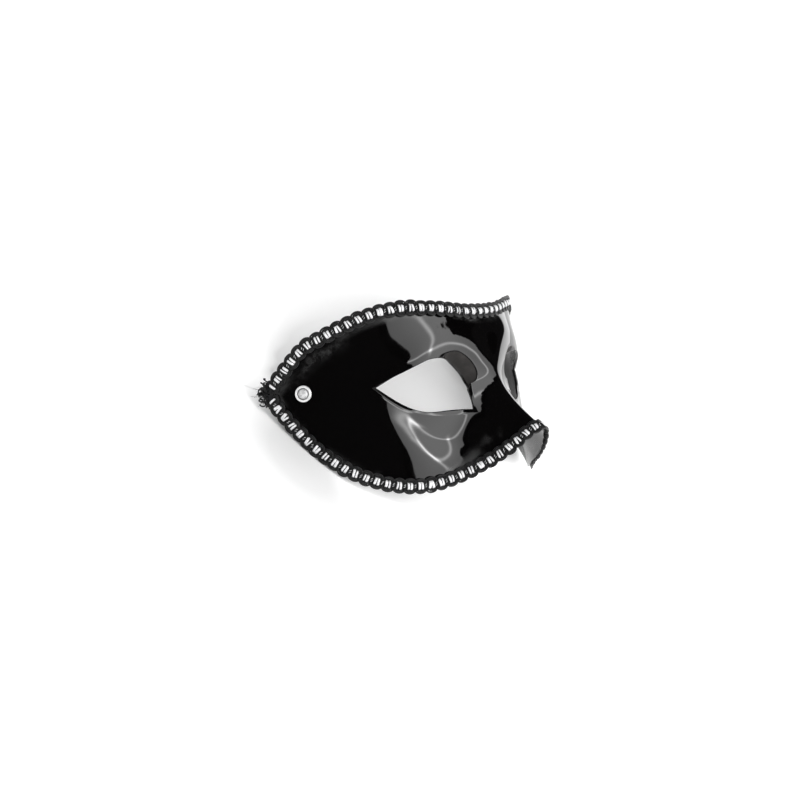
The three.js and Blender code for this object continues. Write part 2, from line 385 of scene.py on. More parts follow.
# Columns round the eye, evenly spaced along each run: their places on the lid, on the rim and on the
# edge, and whether they end on the middle line.
def shellLines():
    top, middle, low = (shellGrid[k] for k in ("top", "middle", "low"))
    edges = [topEdge(top), np.linspace(foreheadMiddle, noseMiddle, middle + 1), lowEdge(low)]
    rims = [
        spacedCurve(top, rimCorner, [48, 7.5, 27.6, 18.6, *rimTop]),
        spacedCurve(middle, rimTop, [9.9, 11.7, 7.7, 3.1, 14.5, 2.2], [14.6, -2, 14.8, -6, *rimLow]),
        spacedCurve(low, rimLow, [34, -11, 46, -11.7, *rimCorner]),
    ]
    lids = [
        spacedCurve(top, lidCorner, [50.3, 6.4, 34.6, 19.2, *lidTop]),
        spacedCurve(middle, lidTop, [10.5, 2.6, 16.6, 2.6, *lidLow]),
        spacedCurve(low, lidLow, [37.3, -7.5, 37.8, -13, *lidCorner]),
    ]
    onMiddle = np.repeat([False, True, False], [top, middle, low])
    return *(np.vstack([part[:-1] for part in line]) for line in (lids, rims, edges)), onMiddle


# Rows of the grid on the sheet: across the rounded cut, a quarter circle, up
# the socket's wall to the rim, and over the face to the edge. Gives the places,
# their distance from the lid within the wall, and how far the cut sinks.
def shellRows(lids, rims, edges, wall):
    bend = np.linspace(math.pi / 2, 0, shellGrid["cutRows"] + 1)[None, :]
    cutFromLid = shell["cutRound"] * (1 - np.sin(bend)) + 0 * wall
    cutDrop = shell["cutRound"] * (1 - np.cos(bend)) + 0 * wall
    wallShare = np.linspace(0, 1, shellGrid["wallRows"] + 1)[None, 1:]
    wallFromLid = shell["cutRound"] + (wall - shell["cutRound"]) * wallShare
    fromLid = np.hstack([cutFromLid, wallFromLid])
    faceShare = np.linspace(0, 1, shellGrid["faceRows"] + 1)[None, 1:, None]
    inWall = lids[:, None] + (rims - lids)[:, None] * (fromLid / wall)[..., None]
    onFace = rims[:, None] + (edges - rims)[:, None] * faceShare
    return np.concatenate([inWall, onFace], axis=1), fromLid, cutDrop


# How dull each place is, and how much of the painted reflection it has: it comes on evenly off the cut and
# off the rim, and with the width of the wall.
def wallDullnessAndReflection(wall, fromLid, toRim):
    offCut = np.clip((fromLid - dullReflectingWall["offCut"]) / dullReflectingWall["fade"], 0, 1)
    offRim = np.clip((toRim - dullReflectingWall["offRim"]) / dullReflectingWall["fade"], 0, 1)
    return offCut * offRim * np.clip((wall - dullReflectingWall["narrow"]) / dullReflectingWall["widening"], 0, 1)


# One half of the shell as a grid closed both ways: columns round the eye, rows out
# along the outer skin and back along the inner one. The socket's wall sinks by its
# slope times the distance from the rim, a hyperbola at the crease. Its material reads
# the distance from the edge, how dull the socket is and how much painted reflection it
# has, and whether a place is inside.
def shellHalf(side):
    lids, rims, edges, onMiddle = shellLines()
    wall = np.linalg.norm(rims - lids, axis=1)[:, None]
    place, fromLid, cutDrop = shellRows(lids, rims, edges, wall)
    onFace = np.zeros((len(wall), shellGrid["faceRows"]))
    toRim = np.hstack([wall - fromLid, onFace])
    slope = shell["socketSlope"] * np.maximum(wall - shell["lip"], 0) / wall
    sink = slope * (np.hypot(toRim, shell["crease"]) - shell["crease"])
    drop = np.hstack([cutDrop, np.zeros((len(wall), place.shape[1] - cutDrop.shape[1]))])
    w, y = side * place[..., 0], place[..., 1]
    skin = face(w, y) - sink[..., None] * [0, 0, 1]
    inward = -faceNormal(w, y)
    outer = skin + inward * drop[..., None]
    inner = skin + inward * (shell["thick"] - drop)[..., None]
    points = np.concatenate([outer, inner[:, ::-1]], axis=1)
    outline = np.vstack([topEdge(outlineSteps), lowEdge(outlineSteps)])
    gap = np.min([np.linalg.norm(place - spot, axis=-1) for spot in outline], axis=0)
    dullnessAndReflection = wallDullnessAndReflection(wall, np.hstack([fromLid, wall + onFace]), toRim)
    columns, rows = points.shape[:2]
    faces = gridFaces(columns, rows, True, True)
    # the outermost strip is left out along the middle line, where the other half goes on
    strip = np.tile(np.arange(rows) == rows // 2 - 1, columns) & np.repeat(onMiddle, rows)
    faces = faces[~strip]
    if side < 0:
        faces = faces[:, ::-1]
    values = [np.hstack([value, value[:, ::-1]]).ravel() for value in (gap, dullnessAndReflection)]
    values.append(np.hstack([0 * gap, 1 + 0 * gap]).ravel())
    return points.reshape(-1, 3), faces, values


# Both halves, joined along the middle line.
def makeShell(material):
    halves = [shellHalf(side) for side in (1, -1)]
    count = len(halves[0][0])
    points = placed(np.vstack([half[0] for half in halves]))
    faces = np.vstack([halves[0][1], halves[1][1] + count])
    values = np.hstack([half[2] for half in halves])
    points, faces, kept = merged(points, faces)
    piece = addPiece("shell_moulding", points, [faces], material, sharpOver["shell"])
    for name, value in zip(("edgeGap", "inSocket", "inside"), values):
        addValues(piece, name, value[kept])
    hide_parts("mask_shell")


# Black gloss: nearly mirror smooth, with a faint moulding
# ripple and fine scuffs, dull in the socket and inside. The
# socket's wall is also painted paler, a painted reflection.
glossOutside, glossInside = (0.0014, 0.0012, 0.0013), (0.013, 0.012, 0.012)
# Socket wall colours: painted reflection, paler than the gloss.
socketReflectionDark, socketReflectionPale = (0.015, 0.013, 0.012), (0.04, 0.036, 0.034)
glossRough = {"bare": 0.045, "scuff": 0.05, "haze": 0.25, "socket": 0.7, "inside": 0.12}
glossBump = {"strength": 0.02, "distance": 0.01, "ripple": (45, 2, 0.5), "scuff": 0.004}

# Haze of glue in patches along the braid, up to so many millimetres in from the edge, and a smear
# of it above the right rivet: millimetres in from the edge, and metres across and up in the scene.
glueHaze = {"colour": (0.06, 0.06, 0.06), "cover": 0.8, "fades": (3.6, 7.5)}
smearAt = {"gap": (7.4, 2.2), "across": (-0.062, -0.055), "high": (0.03, 0.01)}
glossPatches = {  # scale, detail, roughness, and between which heights they come on
    "scuffs": (900, 6, 0.7, 0.55, 0.75),
    "haze": (60, 4, 0.5, 0.48, 0.66),
    "specks": (380, 5, 0.7, 0.3, 0.8),
    "wall": (110, 3, 0.5, 0.35, 0.65),
}


def glossMaterial():
    material, tree = newMaterial("blackGloss")
    where = tree.place()
    x, _, z = tree.axes(where)
    gap = tree.kept("edgeGap")
    scuffs, hazy, specks, wall = (tree.patches(where, *glossPatches[k]) for k in glossPatches)
    byTemple = (1 - x.smooth(*smearAt["across"])) * z.bell(*smearAt["high"])
    smear = byTemple * gap.bell(*smearAt["gap"]) * specks
    haze = (1 - gap.smooth(*glueHaze["fades"])) * hazy + smear
    dullAndReflection, inside = tree.kept("inSocket"), tree.kept("inside")
    # Painted reflection: the socket is coloured paler than the gloss, mottled by the wall patches.
    outside = tree.mixed(dullAndReflection, glossOutside, tree.mixed(wall, socketReflectionDark, socketReflectionPale))
    bare = tree.mixed(inside, outside, glossInside)
    colour = tree.mixed(haze * glueHaze["cover"], bare, glueHaze["colour"])
    worn = scuffs * glossRough["scuff"] + haze * glossRough["haze"]
    roughness = worn + dullAndReflection * glossRough["socket"] + inside * glossRough["inside"] + glossRough["bare"]
    ripple = tree.noise(where, *glossBump["ripple"])
    height = ripple + scuffs * glossBump["scuff"]
    normal = tree.bump(height, glossBump["strength"], glossBump["distance"])
    tree.surface({"Base Color": colour, "Roughness": roughness, "IOR": 1.5, "Normal": normal})
    return material


makeShell(glossMaterial())
print("shell made")


# Braid: how far its middle line lies inside the edge, over what length its corners are rounded, points
# along each run of the edge, over how many of them each way its direction is taken, the number of
# units, the space between its ends, and its lift off the face.
braid = {"inset": 2, "corner": 5, "samples": 600, "few": 3, "count": 106, "endGap": 0.4, "gap": 0.35}


# The edge as one clockwise loop on the sheet, from the right temple over the forehead and back under
# the nose, moved inwards by the inset over the stretch, with its corners rounded by a running mean.
def braidLine():
    top, low = topEdge(braid["samples"]), lowEdge(braid["samples"])
    mirror = np.array([-1, 1])
    parts = [top * mirror, top[::-1], low[::-1], low * mirror]
    edge = np.vstack([part[:-1] for part in parts])
    along = unit(np.roll(edge, -1, 0) - np.roll(edge, 1, 0))
    inwards = np.stack([along[:, 1], -along[:, 0]], -1)
    inset = edge + braid["inset"] * inwards / stretch(edge, along, inwards)
    length = np.linalg.norm(edge - np.roll(edge, 1, 0), axis=1).sum()
    reach = round(braid["corner"] * len(edge) / length)
    return sum(np.roll(inset, -j, 0) for j in range(-reach, reach + 1)) / (2 * reach + 1)


# How far apart in space two lines along the edge lie for each millimetre between them on the sheet: the
# area that a step along and a step inwards span, over the length of the step along.
def stretch(place, along, inwards):
    across, up = slopes(place[:, 0], place[:, 1])
    run, rise = (across * move[:, :1] + up * move[:, 1:] for move in (along, inwards))
    return (np.linalg.norm(np.cross(run, rise), axis=1) / np.linalg.norm(run, axis=1))[:, None]


# The braid's course: the length reached in space, the place on the sheet, and the step on the sheet
# that is one millimetre outwards, square to the course as it runs over a few points each way.
def braidCourse():
    line = braidLine()
    line = np.vstack([line, line[:1]])
    points = face(line[:, 0], line[:, 1])
    reached = lengthsAlong(points)
    ring = points[:-1]
    along = unit(np.roll(ring, -braid["few"], 0) - np.roll(ring, braid["few"], 0))
    along = np.vstack([along, along[:1]])
    across, up = slopes(line[:, 0], line[:, 1])
    out = np.stack([-(up * along).sum(-1), (across * along).sum(-1)], -1)
    size = np.linalg.norm(across * out[:, :1] + up * out[:, 1:], axis=1)[:, None]
    return reached, np.hstack([line, out / size])


courseReached, courseValues = braidCourse()
pitch = (courseReached[-1] - braid["endGap"]) / braid["count"]
unitMiddles = braid["endGap"] / 2 + pitch * (np.arange(braid["count"]) + 0.5)
droop = {"from": 2.0, "rate": 0.1}


# A point of the braid in the scene: so far along it, so far out across it,
# so high above the face. Past the shell's edge it droops by the rate times
# the square of the overhang, and nothing sinks below the surface it lies on.
def braidPoint(along, across, height):
    w, y, outW, outY = (np.interp(along, courseReached, courseValues[:, i]) for i in range(4))
    over = np.maximum(across - droop["from"], 0)
    lift = braid["gap"] + height - droop["rate"] * over**2
    points = placed(lifted(w + across * outW, y + across * outY, lift))
    points[..., 2] = np.maximum(points[..., 2], 0)
    return points


# The same for points that hold all three: along, across and height.
def onBraid(points):
    return braidPoint(points[..., 0], points[..., 1], points[..., 2])


# Many like strands at once, from points counted by strand, station along
# it and place round its section. The faces run round each strand, with a
# cap at both ends, and their UV is the share of the way along and round.
def strandBlocks(points):
    strands, stations, sides = points.shape[:3]
    numbers = np.arange(stations * sides).reshape(stations, sides)
    quads = quadsOf(np.hstack([numbers, numbers[:, :1]]))
    caps = np.stack([numbers[0], numbers[-1]])
    shift = stations * sides * np.arange(strands)[:, None, None]
    station, place = np.divmod(np.arange((stations - 1) * sides), sides)
    corner = [(station, place), (station + 1, place), (station + 1, place + 1), (station, place + 1)]
    uv = np.stack([np.stack([a / (stations - 1), b / sides], -1) for a, b in corner], 1)
    blocks = [(block + shift).reshape(-1, block.shape[1]) for block in (quads, caps)]
    return points.reshape(-1, 3), blocks, np.tile(uv, (strands, 1, 1))


# A round ring at each station of a course, square to it: the radius
# times the cosine and the sine of the way round, sideways and upwards.
def roundStrand(course, radius, sides):
    along = unit(np.gradient(course, axis=-2))
    sideways = unit(np.cross(along, [0, 0, 1]))
    upwards = np.cross(sideways, along)
    turn = np.linspace(0, 2 * math.pi, sides, endpoint=False)[:, None]
    ring = np.cos(turn) * sideways[..., None, :] + np.sin(turn) * upwards[..., None, :]
    return course[..., None, :] + np.asarray(radius)[..., None, None] * ring


# Braid's band: flat below, with a crown that is half a sine wave across it.
band = {"halfWidth": 2.1, "edge": 0.25, "crown": 0.7, "stepsPerUnit": 6, "sidePoints": 6}


# The section is carried along all units in one strand.
def makeBand(material):
    half = np.linspace(-1, 1, band["sidePoints"])
    across = np.concatenate([half, half[::-1]]) * band["halfWidth"]
    crown = band["edge"] + (band["crown"] - band["edge"]) * np.cos(half * math.pi / 2)
    height = np.concatenate([0 * half, crown])
    ends = unitMiddles[0] - pitch / 2, unitMiddles[-1] + pitch / 2
    along = np.linspace(*ends, braid["count"] * band["stepsPerUnit"] + 1)[:, None]
    grid = np.stack(np.broadcast_arrays(along, across, height), -1)[None]
    points, blocks, uv = strandBlocks(onBraid(grid))
    perUnit = uv * [braid["count"], 1]
    piece = addPiece("braid_band", points, blocks, material, sharpOver["band"], perUnit)
    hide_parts("braid_trim")


# Silver bars: a pair to each unit, laid across the band, each a flat ribbon whose ends dip between the
# cords. The two bars next to the join are missing. No two lean alike or are quite as wide or as long.
bars = {"halfLength": 1.55, "halfWidth": 0.46, "apart": 0.63, "foot": 0.45, "crown": 0.75}
barRibbon = {"camber": 0.14, "under": 0.2, "stations": 7, "topPoints": 5, "lowPoints": 3}
barVaries = {"lean": 0.2, "length": 0.06, "width": 0.16}


# Height along the ribbon is the crown times 1 - p to the
# fourth, and across its top a parabola by the camber.
def makeBars(material):
    middles = unitMiddles[:, None] + np.array([-1, 1]) * bars["apart"]
    middles = middles.reshape(-1, 1, 1)[1:-1]
    lean = rng.normal(0, barVaries["lean"], middles.shape)
    wide = bars["halfWidth"] * (1 + rng.normal(0, barVaries["width"], middles.shape))
    long = bars["halfLength"] * (1 + rng.normal(0, barVaries["length"], middles.shape))
    p = np.linspace(-1, 1, barRibbon["stations"])[None, :, None]
    top = np.linspace(-1, 1, barRibbon["topPoints"])
    q = np.concatenate([top, np.linspace(1, -1, barRibbon["lowPoints"])])[None, None, :]
    isTop = (np.arange(q.size) < top.size)[None, None, :]
    section = np.where(isTop, barRibbon["camber"] * (1 - q * q), -barRibbon["under"])
    height = bars["foot"] + bars["crown"] * (1 - p**4) + section
    along = middles + q * wide + lean * p
    ribbons = np.stack(np.broadcast_arrays(along, long * p, height), -1)
    points, blocks, uv = strandBlocks(onBraid(ribbons))
    addPiece("silver_bars", points, blocks, material, sharpOver["ribbon"], uv)


# Silver ticks: short slanted floats of the same thread, two between each pair of units.
ticks = {"halfLength": 0.26, "radius": 0.1, "apart": 0.42, "height": 0.78, "lean": 0.3, "camber": 0.1}
tickVaries = 0.1
tickGrid = {"stations": 4, "sides": 5}


# Each runs straight and slanting from end to end, a parabola in height by the camber.
def makeTicks(material):
    between = (unitMiddles[1:] - pitch / 2)[:, None, None]
    middle = between + rng.normal(0, tickVaries, (braid["count"] - 1, 2, 1))
    side = np.array([-1, 1])[None, :, None]
    t = np.linspace(-1, 1, tickGrid["stations"])[None, None, :]
    along = middle + t * ticks["lean"]
    across = side * ticks["apart"] + t * ticks["halfLength"] + 0 * middle
    height = ticks["height"] - ticks["camber"] * t * t + 0 * along
    course = np.stack([along, across, height], -1).reshape(-1, tickGrid["stations"], 3)
    radius = np.full(course.shape[:2], ticks["radius"])
    points, blocks, uv = strandBlocks(onBraid(roundStrand(course, radius, tickGrid["sides"])))
    addPiece("silver_ticks", points, blocks, material, sharpOver["ribbon"], uv)


# Cord loops: on both sides of the band each unit has two half ellipses of cord, one inside the other,
# tilted so that each loop's far end lies over the next one.
loopCords = [
    {
        "name": "cord_outer",
        "middle": 1.42,
        "along": 2.34,
        "out": 1.52,
        "radius": 0.4,
        "height": 0.5,
        "tilt": 0.24,
    },
    {
        "name": "cord_inner",
        "middle": 1.4,
        "along": 1.42,
        "out": 0.95,
        "radius": 0.42,
        "height": 0.55,
        "tilt": 0.12,
    },
]
cordTurn = {"past": 0.25, "stations": 12, "sides": 6, "wobble": 0.07}


# A half ellipse by the cosine along the braid and the sine
# out of it, a little past the half at both ends.
def makeLoops(cord, material):
    turn = np.linspace(-cordTurn["past"], math.pi + cordTurn["past"], cordTurn["stations"])
    side = np.array([-1, 1])[:, None, None]
    shape = (2, braid["count"], 1)
    wide = 1 + rng.normal(0, cordTurn["wobble"], shape)
    middle = unitMiddles[None, :, None] + rng.normal(0, cordTurn["wobble"], shape)
    along = middle + side * cord["along"] * np.cos(turn) + 0 * wide
    across = side * (cord["middle"] + cord["out"] * wide * np.sin(turn))
    height = cord["height"] + cord["tilt"] * np.cos(turn) + 0 * along
    course = np.stack([along, across, height], -1).reshape(-1, len(turn), 3)
    radius = np.full(course.shape[:2], cord["radius"])
    points, blocks, uv = strandBlocks(onBraid(roundStrand(course, radius, cordTurn["sides"])))
    addPiece(cord["name"], points, blocks, material, sharpOver["cord"], uv)


# Tuft: where the braid's two ends meet, a few loose loops of cord stick out past the temple. Sizes are
# ranges that each loop draws from: its radius, how far out its middle lies and how high.
tuft = {"count": 22, "spread": 1.7, "size": (0.7, 1.5), "out": (2.0, 4.6), "high": (0.3, 1.2)}
tuftCord = {"radius": 0.3, "turn": math.pi * 1.6, "flat": 0.5, "clear": 1.1, "stations": 14, "sides": 7}


# Most of a circle in a plane of its own, kept so many radii off the surface that the mask lies on.
def makeTuft(material):
    count = tuft["count"]
    flat = [1, 1, tuftCord["flat"]]
    side = np.where(rng.random(count) < 0.5, 1, -1)
    along = np.abs(rng.normal(0, tuft["spread"], count)) * side % courseReached[-1]
    middle = braidPoint(along, rng.uniform(*tuft["out"], count), rng.uniform(*tuft["high"], count))
    first = unit(rng.normal(0, 1, (count, 3)) * flat)[:, None]
    second = unit(rng.normal(0, 1, (count, 3)) * flat)[:, None]
    turn = np.linspace(0, tuftCord["turn"], tuftCord["stations"])[None, :, None]
    size = rng.uniform(*tuft["size"], count)[:, None, None] / metre
    course = middle[:, None] + size * (np.cos(turn) * first + np.sin(turn) * second)
    course[..., 2] = np.maximum(course[..., 2], tuftCord["clear"] * tuftCord["radius"] / metre)
    radius = np.full(course.shape[:2], tuftCord["radius"] / metre)
    points, blocks, uv = strandBlocks(roundStrand(course, radius, tuftCord["sides"]))
    addPiece("loose_loops", points, blocks, material, sharpOver["cord"], uv)


# Frayed ends: fine threads that stick out past the right temple, where the braid's two ends meet. Their
# roots lie in ranges from the braid's end, out across it and up off the face.
fray = {"count": 60, "fromEnd": (0.3, 2), "out": (0.5, 4.2), "high": (0.2, 0.9), "length": (1, 3.4)}
thread = {"radius": 0.08, "taper": 0.6, "spread": 0.75, "curl": 0.6, "flat": 0.6, "clear": 2}
threadGrid = {"stations": 9, "sides": 5}
aimFrom, aimTo = (0, 0, 0.5), (0, 4, 0.5)  # the threads' mean direction, between two places on the braid


# A parabola: straight along its aim, with a curl that grows by the square of the way along.
def makeFray(material):
    count = fray["count"]
    atStart = rng.random(count) < 0.5
    fromStart = rng.uniform(*fray["fromEnd"], count)
    along = np.where(atStart, fromStart, courseReached[-1] - rng.uniform(*fray["fromEnd"], count))
    root = braidPoint(along, rng.uniform(*fray["out"], count), rng.uniform(*fray["high"], count))
    outwards = braidPoint(*aimTo) - braidPoint(*aimFrom)
    aim = unit(unit(outwards) + rng.normal(0, thread["spread"], (count, 3)) * [1, 1, thread["flat"]])
    curl = rng.normal(0, thread["curl"], (count, 3))
    t = np.linspace(0, 1, threadGrid["stations"])[None, :, None]
    reach = rng.uniform(*fray["length"], count)[:, None, None] / metre
    course = root[:, None] + reach * (aim[:, None] * t + curl[:, None] * t * t)
    course[..., 2] = np.maximum(course[..., 2], thread["clear"] * thread["radius"] / metre)
    thin = thread["radius"] / metre * (1 - thread["taper"] * t[..., 0]) + 0 * course[..., 0]
    points, blocks, uv = strandBlocks(roundStrand(course, thin, threadGrid["sides"]))
    addPiece("frayed_threads", points, blocks, material, sharpOver["cord"], uv)


# Cord: black rayon with a faint sheen, mottled by its fuzz. A fine twist runs round it: the sine of the
# way along and the way round, in radians.
rayonDark, rayonPale = (0.001, 0.001, 0.001), (0.008, 0.008, 0.009)
rayon = {"along": 75, "round": 12.566, "twist": 0.6, "fuzz": (2500, 4, 0.7), "mottle": (0.35, 0.75)}
rayonFinish = {"rough": 0.22, "fuzzRough": 0.25, "sheen": 0.02, "shine": 0.5, "bump": 0.8, "depth": 0.0001}


def cordMaterial():
    material, tree = newMaterial("blackRayon")
    where = tree.place()
    u, v, _ = tree.axes(tree.place("UV"))
    twist = (u * rayon["along"] + v * rayon["round"]).math("SINE")
    fuzz = tree.noise(where, *rayon["fuzz"])
    sockets = {
        "Base Color": tree.mixed(fuzz.smooth(*rayon["mottle"]), rayonDark, rayonPale),
        "Roughness": rayonFinish["rough"] + fuzz * rayonFinish["fuzzRough"],
        "Sheen Weight": rayonFinish["sheen"],
        "Specular IOR Level": rayonFinish["shine"],
        "Normal": tree.bump(twist * rayon["twist"] + fuzz, rayonFinish["bump"], rayonFinish["depth"]),
    }
    tree.surface(sockets)
    return material


# Band: dull black cotton with fine ribs across it, the sine of the way along.
cottonDark, cottonPale = (0.003, 0.003, 0.0035), (0.015, 0.015, 0.017)
cotton = {"ribs": 75.4, "fuzz": (3000, 4, 0.7), "rough": 0.85, "bump": 0.6, "depth": 0.00012}


def bandMaterial():
    material, tree = newMaterial("blackCotton")
    where = tree.place()
    u, _, _ = tree.axes(tree.place("UV"))
    ribs = (u * cotton["ribs"]).math("SINE")
    fuzz = tree.noise(where, *cotton["fuzz"])
    sockets = {
        "Base Color": tree.mixed(fuzz, cottonDark, cottonPale),
        "Roughness": cotton["rough"],
        "Normal": tree.bump(ribs + fuzz, cotton["bump"], cotton["depth"]),
    }
    tree.surface(sockets)
    return material


# Silver: bright foil thread, several strands side by side, a little crushed.
foilDull, foilBright = (0.75, 0.75, 0.77), (0.97, 0.97, 0.98)
foil = {"strands": 50.3, "strandDepth": 0.4, "crush": (1800, 4, 0.6), "mottle": (0.3, 0.6)}
foilFinish = {"metal": 0.2, "rough": 0.3, "crushRough": 0.2, "bump": 0.35, "depth": 0.0001}


def silverMaterial():
    material, tree = newMaterial("silverFoil")
    where = tree.place()
    _, v, _ = tree.axes(tree.place("UV"))
    strands = (v * foil["strands"]).math("SINE")
    crush = tree.noise(where, *foil["crush"])
    height = strands * foil["strandDepth"] + crush
    sockets = {
        "Base Color": tree.mixed(crush.smooth(*foil["mottle"]), foilDull, foilBright),
        "Metallic": foilFinish["metal"],
        "Roughness": foilFinish["rough"] + crush * foilFinish["crushRough"],
        "Normal": tree.bump(height, foilFinish["bump"], foilFinish["depth"]),
    }
    tree.surface(sockets)
    return material


cordBlack = cordMaterial()
silver = silverMaterial()
makeBand(bandMaterial())
makeBars(silver)
makeTicks(silver)
for cord in loopCords:
    makeLoops(cord, cordBlack)
makeTuft(cordBlack)
makeFray(cordBlack)
print("braid made")


# Rivet: clinched flange inside, shank, and a head with a rolled rim, a groove and a low dome, as one
# turned profile. The place is on the sheet, and heights are over the seat.
rivet = {"w": 89.2, "y": -0.2, "headRadius": 3.4, "domeRadius": 2.25, "groove": 0.15}
rivetRise = {"side": 0.35, "rim": 1, "dome": 1.6}
shank = {"radius": 1.6, "flangeRadius": 3, "flangeThick": 0.6, "bevel": 0.2, "seat": 0.15}
turnedGrid = {"sides": 72, "rimPoints": 12, "domePoints": 12, "domeFrom": 0.08}


# Profile, up the axis: straight runs of the shank, a half
# ellipse for the rim and a quarter one for the dome.
def rivetProfile():
    inside = -shell["thick"] - shank["seat"]
    foot = inside - shank["flangeThick"]
    shoulder = shank["seat"] + rivetRise["side"]
    rimTurn = np.linspace(0, math.pi, turnedGrid["rimPoints"])
    rimReach = (rivet["headRadius"] - rivet["domeRadius"]) / 2
    rimOut = rivet["domeRadius"] + rimReach * (1 + np.cos(rimTurn))
    rim = np.stack([rimOut, shoulder + (rivetRise["rim"] - rivetRise["side"]) * np.sin(rimTurn)], -1)
    domeTurn = np.linspace(turnedGrid["domeFrom"], math.pi / 2, turnedGrid["domePoints"])
    domeHigh = shoulder + (rivetRise["dome"] - rivetRise["side"]) * np.sin(domeTurn)
    dome = np.stack([(rivet["domeRadius"] - rivet["groove"]) * np.cos(domeTurn), domeHigh], -1)
    flat = shank["flangeRadius"] - shank["bevel"]
    flange = [[0, foot], [flat, foot], [shank["flangeRadius"], foot + shank["bevel"]]]
    stem = [[shank["flangeRadius"], inside], [shank["radius"], inside], [shank["radius"], shank["seat"]]]
    return np.vstack([flange, stem, [[rivet["headRadius"], shank["seat"]]], rim, dome])


# The profile turned round the line straight out of the
# face; its material reads the distance from that line.
def makeRivet(name, side, material):
    profile = rivetProfile()
    spot = np.array(side * rivet["w"]), np.array(rivet["y"])
    middle, out = face(*spot), faceNormal(*spot)
    across = unit(np.cross([0, 1, 0], out))
    up = np.cross(out, across)
    turn = np.linspace(0, 2 * math.pi, turnedGrid["sides"], endpoint=False)[None, :, None]
    radius, height = profile[:, :1, None], profile[:, 1:, None]
    ring = middle + out * height + radius * (across * np.cos(turn) + up * np.sin(turn))
    faces = gridFaces(len(profile), turnedGrid["sides"], False, True)
    points, faces, kept = merged(placed(ring).reshape(-1, 3), faces)
    piece = addPiece(name + "_turned", points, [faces], material, sharpOver["rivet"])
    addValues(piece, "fromAxis", np.repeat(profile[:, 0], turnedGrid["sides"])[kept])
    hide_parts(name)


# Rivet metal: bright polished rim, and a duller mottled dome with painted shade, a dark line,
# in the groove round it.
# The groove colour is painted shade.
nickel = {"rim": (0.98, 0.98, 0.98), "groove": (0.04, 0.04, 0.04), "metal": 0.3, "rough": 0.22}
nickelDome = {"dark": (0.45, 0.45, 0.46), "pale": (0.9, 0.9, 0.9), "rough": 0.2}
nickelBump = {"strength": 0.25, "depth": 0.0003}
nickelMottle = 700, 5, 0.65, 0.35, 0.65  # the same five as in glossPatches
nickelAt = {"dome": (2.05, 2.3), "groove": (2.25, 0.16)}  # millimetres from the rivet's axis


def rivetMaterial():
    material, tree = newMaterial("rivetMetal")
    fromAxis = tree.kept("fromAxis")
    dome = 1 - fromAxis.smooth(*nickelAt["dome"])
    # Painted shade: a dark line round the dome where the groove is.
    groove = fromAxis.bell(*nickelAt["groove"])
    mottle = tree.patches(tree.place(), *nickelMottle)
    domeColour = tree.mixed(mottle, nickelDome["dark"], nickelDome["pale"])
    sockets = {
        "Base Color": tree.mixed(groove, tree.mixed(dome, nickel["rim"], domeColour), nickel["groove"]),
        "Metallic": nickel["metal"],
        "Roughness": nickel["rough"] + dome * nickelDome["rough"],
        "Normal": tree.bump(mottle * dome, nickelBump["strength"], nickelBump["depth"]),
    }
    tree.surface(sockets)
    return material


rivetMetal = rivetMaterial()
makeRivet("rivet_right", -1, rivetMetal)
makeRivet("rivet_left", 1, rivetMetal)
print("rivets made")


# Stage, in metres: a pale floor with a glow of its own, stronger far off at +x, and a large soft panel
# overhead. The light pools are painted light and painted shadow: places where the floor's glow is stronger
# or weaker, to pale or deepen the mask's shadows on it and to light the floor that the mask reflects. The
# painted shadows are places where its colour is darker, contact shadows painted under the temples. For
# each place: the middle, the reach and the strength.
floor = {"half": 4, "shade": 0.84, "rough": 0.9, "glow": 0.18, "far": 0.2, "farAt": (0.3, 1)}
paintedFloorLight = [
    (-0.014, 0.065, 0.04, 0.015, -0.4),
    (0.06, 0.08, 0.06, 0.02, -0.24),
    (-0.077, 0.004, 0.02, 0.028, -0.3),
    (-0.022, -0.042, 0.032, 0.027, 0.28),
    (-0.056, -0.014, 0.013, 0.016, 0.33),
    (-0.07, 0.07, 0.038, 0.029, 0.5),
    (0.034, -0.026, 0.018, 0.012, 1.2),
    (-0.05, 0.051, 0.008, 0.005, -0.6),
    (-0.036, 0.0585, 0.011, 0.006, -0.6),
]
paintedFloorShadows = [
    (0.075, 0.036, 0.011, 0.017, -0.85),
    (-0.077, 0.012, 0.015, 0.022, -0.16),
]


# A flat rectangle from its low corner to its high one, kept out of the model.
def stagePlane(name, low, high, height, material):
    mesh = bpy.data.meshes.new(name)
    corners = [(low[0], low[1]), (high[0], low[1]), (high[0], high[1]), (low[0], high[1])]
    mesh.from_pydata([(x, y, height) for x, y in corners], [], [(0, 1, 2, 3)])
    mesh.materials.append(material)
    plane = bpy.data.objects.new(name, mesh)
    bpy.context.scene.collection.objects.link(plane)
    return plane


# The start plus, for each place, the bell across the floor times the bell along it times the strength.
def withPlaces(start, places, x, y):
    for middleX, middleY, reachX, reachY, strength in places:
        start = start + x.bell(middleX, reachX) * y.bell(middleY, reachY) * strength
    return start


def floorMaterial():
    material, tree = newMaterial("paleFloor")
    x, y, _ = tree.axes(tree.place())
    # Painted light and painted shadow: the floor's glow, raised or lowered at the light pools.
    glow = withPlaces(x.smooth(*floor["farAt"]) * floor["far"] + floor["glow"], paintedFloorLight, x, y)
    # Painted shadow: the floor's colour, darkened at the painted shadows.
    shade = withPlaces(x * 0 + 1, paintedFloorShadows, x, y)
    sockets = {
        "Base Color": shade * floor["shade"],
        "Roughness": floor["rough"],
        "Emission Color": glow.math("MAXIMUM", 0),
        "Emission Strength": 1,
    }
    tree.surface(sockets)
    return material


